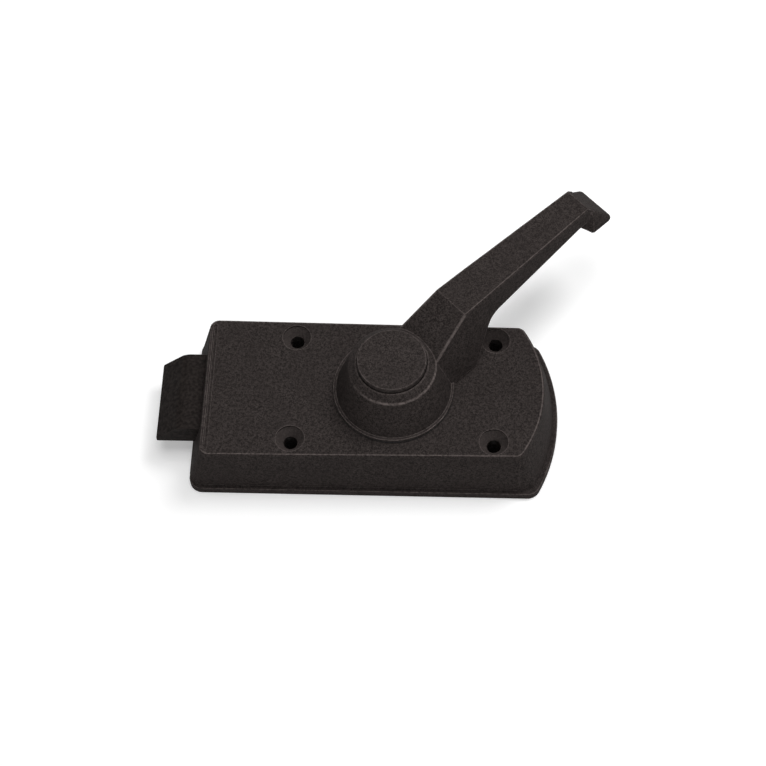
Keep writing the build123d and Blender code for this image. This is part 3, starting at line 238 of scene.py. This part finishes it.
def shade(colour, factor):
    return tuple(part * factor for part in colour)


def powder_coat(
    name, colour, grain=1.0, rim=(0.80, 0.96), blends=(), rubs_and_highlights=(), highlight_ridges=(), sinks=None
):
    """Grainy black powder coat, a little thinner and paler along its edges: wear, and also a
    painted highlight.

    The rim is the range of the normal's Z over the rounded rims where the coat is thin and paler:
    wear, and also a painted highlight.
    Each blend is a place, a reach and a radius: edges there are cast with that radius.
    Each ring round Z, given by its radius, height and half width, gets a painted highlight in a
    paler colour. It only shows near one given place across the ring, on one side of it.
    Each ridge is a start, an end and a half width, and a highlight is painted there as a paler
    line.
    Sinks are the place and reach of recesses that are the same in all four corners. They are
    smoother, and paler in place of a highlight.
    """
    surface = Surface(name)
    fine = surface.noise(FINE_GRAIN, detail=3.0, roughness=0.6)
    peel = surface.noise(ORANGE_PEEL, detail=2.0, roughness=0.6)
    mottle = surface.noise(MOTTLE, detail=3.0)
    both = surface.math(
        "ADD", surface.math("MULTIPLY", fine, 0.65), surface.math("MULTIPLY", peel, 0.35)
    )
    speckle = surface.spread(both, 0.41, 0.59, 0.0, 1.0)
    grained = surface.mix(speckle, shade(colour, 0.5), shade(colour, 1.7))
    cloudy = surface.mix(
        surface.spread(mottle, 0.35, 0.65, 0.0, 0.3), grained, shade(colour, 0.8)
    )
    # Paler along edges and rounded rims: partly wear of the coat, partly a painted highlight
    edge_wear_and_highlight = surface.math("MAXIMUM", surface.edges(COAT_EDGE, 0.92), surface.rims(*rim))
    wear_and_highlight = surface.math("MULTIPLY", edge_wear_and_highlight, surface.spread(peel, 0.3, 0.62, 0.25, 0.75))
    # Painted highlight on each ring, only on the side near the given place
    for ring_radius, height, half_width in rubs_and_highlights:
        ring = surface.math(
            "MULTIPLY",
            surface.ring(ring_radius, height, half_width),
            surface.near((*HIGHLIGHT_SIDE, height), HIGHLIGHT_REACH),
        )
        ring = surface.math("MULTIPLY", ring, surface.spread(peel, 0.3, 0.62, 0.3, 1.0))
        wear_and_highlight = surface.math("MAXIMUM", wear_and_highlight, ring)
    # Painted highlight along each ridge line
    for start, end, half_width in highlight_ridges:
        line = surface.stripe(start, end, half_width)
        line = surface.math("MULTIPLY", line, surface.spread(peel, 0.3, 0.62, 0.3, 0.8))
        wear_and_highlight = surface.math("MAXIMUM", wear_and_highlight, line)
    radius = None
    for place, reach, blend_radius in blends:
        near = surface.near(place, reach)
        here = surface.math("MULTIPLY", near, blend_radius)
        radius = here if radius is None else surface.math("MAXIMUM", radius, here)
    if sinks:
        sunk = surface.in_corners(*sinks)
        cloudy = surface.mix(surface.math("MULTIPLY", sunk, 0.35), cloudy, shade(colour, 2.6))
    # Base colour is paler where edges wear and where highlights are painted
    surface.colour(surface.mix(wear_and_highlight, cloudy, shade(colour, 4.5)))
    roughness = surface.math(
        "SUBTRACT",
        surface.spread(both, 0.38, 0.62, COAT_ROUGHNESS - 0.05, COAT_ROUGHNESS + 0.09),
        surface.math("MULTIPLY", wear_and_highlight, 0.3),
    )
    if sinks:
        smooth = surface.math("SUBTRACT", 1.0, surface.math("MULTIPLY", sunk, 0.66))
        roughness = surface.math("MULTIPLY", roughness, smooth)
    surface.roughness(roughness)
    surface.shader.inputs["Specular IOR Level"].default_value = BLACK_SPECULAR
    surface.shader.inputs["Specular Tint"].default_value = (1.0, 0.9, 0.87, 1)
    height = surface.math("ADD", fine, surface.math("MULTIPLY", peel, 1.2))
    surface.bump(height, 0.00024, 0.75 * grain, radius)
    return surface.material


def satin_black(name, colour):
    """Smooth painted steel with faint rub marks along its stroke."""
    surface = Surface(name)
    fine = surface.noise(ORANGE_PEEL, detail=2.0)
    rubs_and_highlights = surface.noise(SCUFF, detail=3.0, stretch=(0.18, 1.6, 1.6))
    dull = surface.mix(
        surface.spread(fine, 0.35, 0.65, 0.0, 1.0), shade(colour, 0.6), shade(colour, 1.35)
    )
    wear_and_highlight = surface.mix(surface.spread(rubs_and_highlights, 0.55, 0.72, 0.0, 0.55), dull, shade(colour, 1.5))
    surface.colour(
        surface.mix(surface.edges(0.0005, 0.8), wear_and_highlight, shade(colour, 2.2))
    )
    surface.roughness(surface.spread(rubs_and_highlights, 0.35, 0.7, 0.66, 0.54))
    surface.shader.inputs["Specular IOR Level"].default_value = BLACK_SPECULAR
    surface.bump(fine, 0.00012, 0.5)
    return surface.material


def metal(name, colour, rough, stretch=(1, 1, 1), relief=0.3, tarnish=0.25):
    """Bare or plated metal with drawing or turning marks and dull patches."""
    surface = Surface(name)
    marks = surface.noise(FINE_GRAIN, detail=2.0, stretch=stretch)
    patches = surface.noise(SCUFF, detail=3.0)
    dull = surface.mix(
        surface.spread(patches, 0.4, 0.7, 0.0, tarnish), colour, shade(colour, 0.45)
    )
    surface.colour(
        surface.mix(surface.spread(marks, 0.35, 0.65, 0.0, 0.3), dull, shade(colour, 0.75))
    )
    surface.shader.inputs["Metallic"].default_value = 1.0
    surface.roughness(surface.spread(patches, 0.3, 0.7, rough - 0.06, rough + 0.12))
    surface.bump(marks, 0.00004, relief)
    return surface.material


def moulded(name, colour, rough=0.48):
    """Moulded nylon: an even colour with a faint spark-eroded grain."""
    surface = Surface(name)
    fine = surface.noise(FINE_GRAIN, detail=2.0)
    mottle = surface.noise(MOTTLE, detail=2.0)
    surface.colour(
        surface.mix(surface.spread(mottle, 0.35, 0.65, 0.0, 1.0), shade(colour, 0.9), colour)
    )
    surface.roughness(surface.spread(fine, 0.3, 0.7, rough - 0.05, rough + 0.08))
    surface.bump(fine, 0.00005, 0.3)
    return surface.material


# The recesses of the fixing holes
SINKS = ((0.0375, 0.0215, 0.0225), 0.00545)

# Where the lever's casting runs smoothly from the hub into its root and round its end
LEVER_BLENDS = (
    ((0.0188, 0.0016, 0.033), 0.009, 0.004),
    ((0.0019, 0.0187, 0.033), 0.009, 0.004),
    ((0.0771, 0.0642, 0.0465), 0.012, 0.003),
)

# The hub's shoulder, and the two ridges of the root from there to the bend, where highlights are
# painted in a paler colour
LEVER_HIGHLIGHT_RINGS = ((0.0160, 0.0417, 0.0007),)
LEVER_HIGHLIGHT_RIDGES = (
    ((0.0163, 0.0018, 0.0420), (0.0264, 0.0153, 0.0530), 0.0009),
    ((0.0021, 0.0163, 0.0420), (0.0157, 0.0261, 0.0530), 0.0009),
)

finishes = {
    "case_black": powder_coat("case_coat", (0.0310, 0.0259, 0.0246), sinks=SINKS),
    "plate_black": powder_coat("plate_coat", (0.0295, 0.0246, 0.0234)),
    "lever_black": powder_coat(
        "lever_coat",
        (0.0320, 0.0267, 0.0253),
        rim=(0.855, 0.97),
        blends=LEVER_BLENDS,
        rubs_and_highlights=LEVER_HIGHLIGHT_RINGS,
        highlight_ridges=LEVER_HIGHLIGHT_RIDGES,
    ),
    "cap_black": powder_coat("cap_coat", (0.0325, 0.0272, 0.0258), grain=0.9, rim=(0.90, 0.97)),
    "bolt_black": satin_black("bolt_finish", (0.0190, 0.0156, 0.0145)),
    "zinc_plated_steel": metal("zinc_plating", (0.58, 0.59, 0.60), 0.34),
    "bright_steel": metal("turned_steel", (0.56, 0.56, 0.55), 0.24, stretch=(1, 1, 6)),
    "spring_steel": metal("spring_wire", (0.30, 0.30, 0.31), 0.28),
    "cast_zinc": metal("cast_zinc_skin", (0.42, 0.42, 0.43), 0.48, relief=0.7, tarnish=0.4),
    "bronze": metal("turned_bronze", (0.62, 0.40, 0.19), 0.30, stretch=(1, 1, 6)),
    "nylon_black": moulded("black_nylon", (0.020, 0.020, 0.021)),
    "nylon_white": moulded("white_nylon", (0.70, 0.68, 0.62), rough=0.42),
}

for part in frame["record"]["subparts"]:
    node = frame["nodes"][part["node"]]
    node.data.materials.clear()
    node.data.materials.append(finishes[part["material_slot"]])

# Floor: plain and pale, white to the camera, and it keeps the object's shadow
FLOOR_HALF = 3.0
PAPER_GLOW = 0.32
floor_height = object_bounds()[0][2]
floor_mesh = bpy.data.meshes.new("floor")
floor_mesh.from_pydata(
    [
        (-FLOOR_HALF, -FLOOR_HALF, floor_height),
        (FLOOR_HALF, -FLOOR_HALF, floor_height),
        (FLOOR_HALF, FLOOR_HALF, floor_height),
        (-FLOOR_HALF, FLOOR_HALF, floor_height),
    ],
    [],
    [(0, 1, 2, 3)],
)
floor = bpy.data.objects.new("floor", floor_mesh)
bpy.context.scene.collection.objects.link(floor)

paper = Surface("paper")
paper.tree.nodes.remove(paper.shader)
lit = paper.node("ShaderNodeBsdfDiffuse")
lit.inputs["Color"].default_value = (0.80, 0.80, 0.80, 1)
glow = paper.node("ShaderNodeEmission")
path = paper.node("ShaderNodeLightPath")
seen = paper.math("MAXIMUM", path.outputs["Is Camera Ray"], path.outputs["Is Glossy Ray"])
seen = paper.math("MAXIMUM", seen, path.outputs["Is Transmission Ray"])
paper.link(paper.math("MULTIPLY", seen, PAPER_GLOW), glow.inputs["Strength"])
both = paper.node("ShaderNodeAddShader")
paper.link(lit.outputs["BSDF"], both.inputs[0])
paper.link(glow.outputs["Emission"], both.inputs[1])
paper.link(both.outputs["Shader"], paper.output.inputs["Surface"])
floor_mesh.materials.append(paper.material)


LAMP_AIM = Vector((0, 0, 0.02))


def soft_light(name, place, size, power):
    """A square lamp at place, turned to the middle of the latch."""
    data = bpy.data.lights.new(name, "AREA")
    data.shape = "SQUARE"
    data.size = size
    data.energy = power
    lamp = bpy.data.objects.new(name, data)
    lamp.location = place
    lamp.rotation_euler = (LAMP_AIM - Vector(place)).to_track_quat("-Z", "Y").to_euler()
    bpy.context.scene.collection.objects.link(lamp)


soft_light("key", (0.45, 0.35, 0.95), 0.40, 5.4)
soft_light("top", (0.0, 0.0, 1.15), 0.60, 5.4)
soft_light("left", (-0.90, -0.10, 0.60), 0.50, 0.4)
soft_light("front", (0.08, -1.0, 0.28), 0.40, 2.0)
soft_light("glint", (0.80, -0.50, 0.37), 0.15, 0.5)
soft_light("back", (0.10, 1.0, 0.55), 0.50, 1.5)

world = bpy.data.worlds.new("studio")
world.use_nodes = True
world.node_tree.nodes["Background"].inputs["Color"].default_value = (1, 1, 1, 1)
world.node_tree.nodes["Background"].inputs["Strength"].default_value = 0.12
bpy.context.scene.world = world

# Camera
azimuth, elevation, roll = (
    math.radians(angle) for angle in (CAMERA_AZIMUTH, CAMERA_ELEVATION, CAMERA_ROLL)
)
back = Vector(
    (
        math.sin(azimuth) * math.cos(elevation),
        -math.cos(azimuth) * math.cos(elevation),
        math.sin(elevation),
    )
)
right = Vector((math.cos(azimuth), math.sin(azimuth), 0))
up = back.cross(right)
rolled_right = math.cos(roll) * right + math.sin(roll) * up
rolled_up = math.cos(roll) * up - math.sin(roll) * right
camera_data = bpy.data.cameras.new("camera")
camera_data.sensor_width = 36
camera_data.lens = CAMERA_LENS
camera = bpy.data.objects.new("camera", camera_data)
turn = Matrix((rolled_right, rolled_up, back)).transposed().to_4x4()
camera.matrix_world = Matrix.Translation(CAMERA_TARGET + CAMERA_DISTANCE * back) @ turn
bpy.context.scene.collection.objects.link(camera)
bpy.context.scene.camera = camera
bpy.context.scene.view_settings.view_transform = "Standard"
